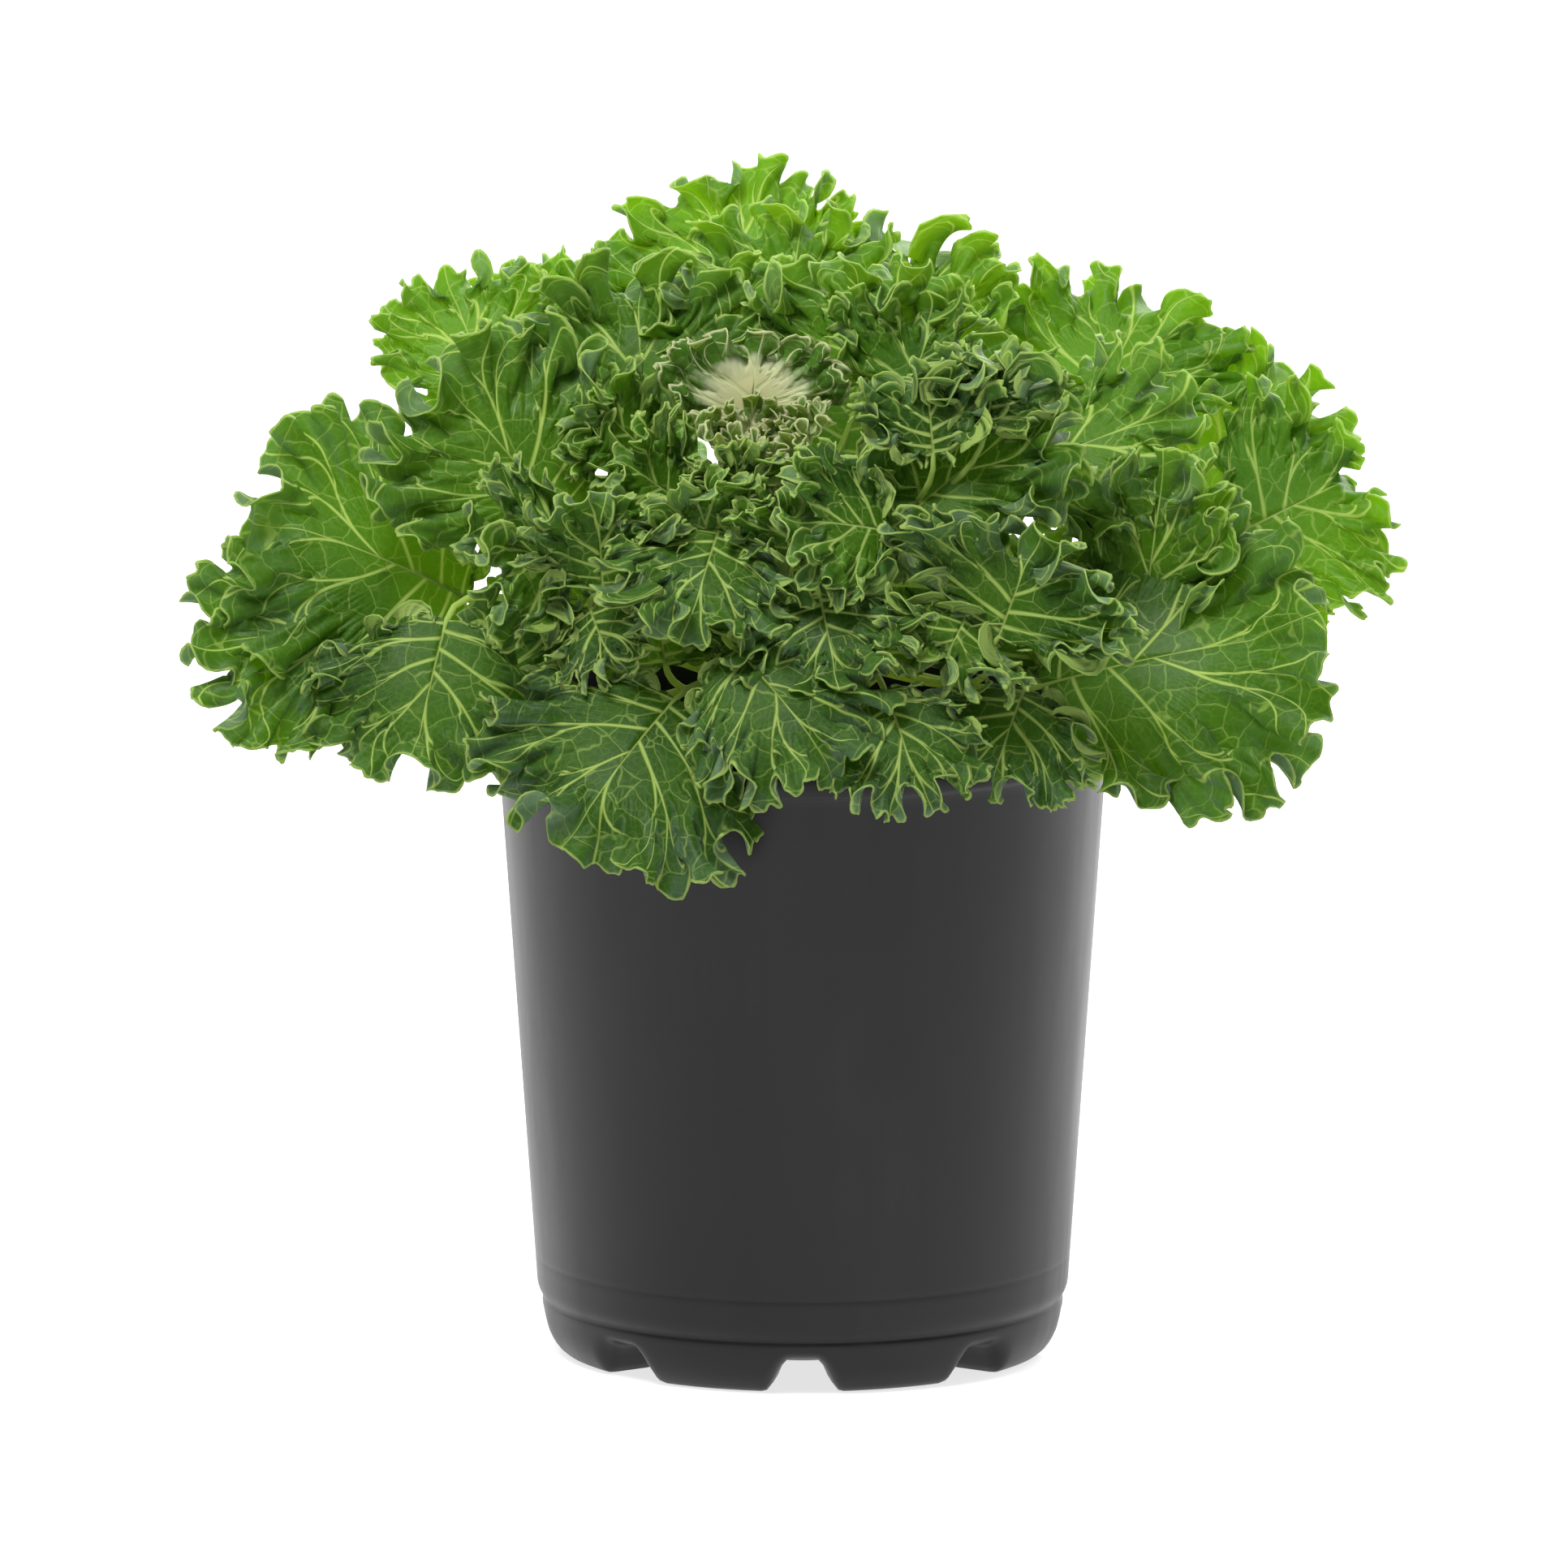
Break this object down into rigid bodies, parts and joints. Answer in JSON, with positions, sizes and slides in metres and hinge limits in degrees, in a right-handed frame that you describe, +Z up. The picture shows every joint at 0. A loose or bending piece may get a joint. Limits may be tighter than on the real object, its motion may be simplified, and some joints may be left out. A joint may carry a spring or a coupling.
{
  "type": "potted ornamental kale",
  "caption": "Leafy ornamental kale with a pale heart and spreading frilled leaves, rooted in potting mix in a tapered round nursery pot with a footed base.",
  "frame": {"origin": "centre of the pot's floor pad, on the plane that the pot's feet stand on", "axes": "+Z up, -Y towards the side that the plant leans to and the picture shows, +X to that view's right"},
  "size_m": [0.3932, 0.3144, 0.3822],
  "materials": {
    "nursery_pot": "satin",
    "potting_mix": "matte",
    "stem": "satin",
    "outer_leaf": "satin",
    "middle_leaf": "satin",
    "inner_leaf": "satin",
    "heart_leaf": "satin",
    "yellow_leaf": "matte"
  },
  "bodies": {
    "root": {"nursery_pot": "nursery_pot", "potting_mix": "potting_mix", "stem": "stem", "outer_leaf_01": "outer_leaf", "outer_leaf_02": "outer_leaf", "outer_leaf_03": "outer_leaf", "outer_leaf_04": "outer_leaf", "outer_leaf_05": "outer_leaf", "outer_leaf_06": "outer_leaf", "outer_leaf_07": "outer_leaf", "outer_leaf_08": "outer_leaf", "outer_leaf_09": "outer_leaf", "outer_leaf_10": "outer_leaf", "outer_leaf_11": "outer_leaf", "outer_leaf_12": "outer_leaf", "outer_leaf_13": "outer_leaf", "outer_leaf_14": "outer_leaf", "outer_leaf_15": "outer_leaf", "outer_leaf_16": "outer_leaf", "outer_leaf_17": "outer_leaf", "outer_leaf_18": "outer_leaf", "outer_leaf_19": "outer_leaf", "middle_leaf_01": "middle_leaf", "middle_leaf_02": "middle_leaf", "middle_leaf_03": "middle_leaf", "middle_leaf_04": "middle_leaf", "middle_leaf_05": "middle_leaf", "middle_leaf_06": "middle_leaf", "middle_leaf_07": "middle_leaf", "middle_leaf_08": "middle_leaf", "middle_leaf_09": "middle_leaf", "middle_leaf_10": "middle_leaf", "middle_leaf_11": "middle_leaf", "middle_leaf_12": "middle_leaf", "middle_leaf_13": "middle_leaf", "middle_leaf_14": "middle_leaf", "inner_leaf_01": "inner_leaf", "inner_leaf_02": "inner_leaf", "inner_leaf_03": "inner_leaf", "inner_leaf_04": "inner_leaf", "inner_leaf_05": "inner_leaf", "inner_leaf_06": "inner_leaf", "inner_leaf_07": "inner_leaf", "inner_leaf_08": "inner_leaf", "heart_leaf_01": "heart_leaf", "heart_leaf_02": "heart_leaf", "heart_leaf_03": "heart_leaf", "heart_leaf_04": "heart_leaf", "heart_leaf_05": "heart_leaf", "heart_leaf_06": "heart_leaf", "heart_leaf_07": "heart_leaf", "heart_leaf_08": "heart_leaf", "yellow_leaf_01": "yellow_leaf", "yellow_leaf_02": "yellow_leaf"}
  },
  "joints": []
}
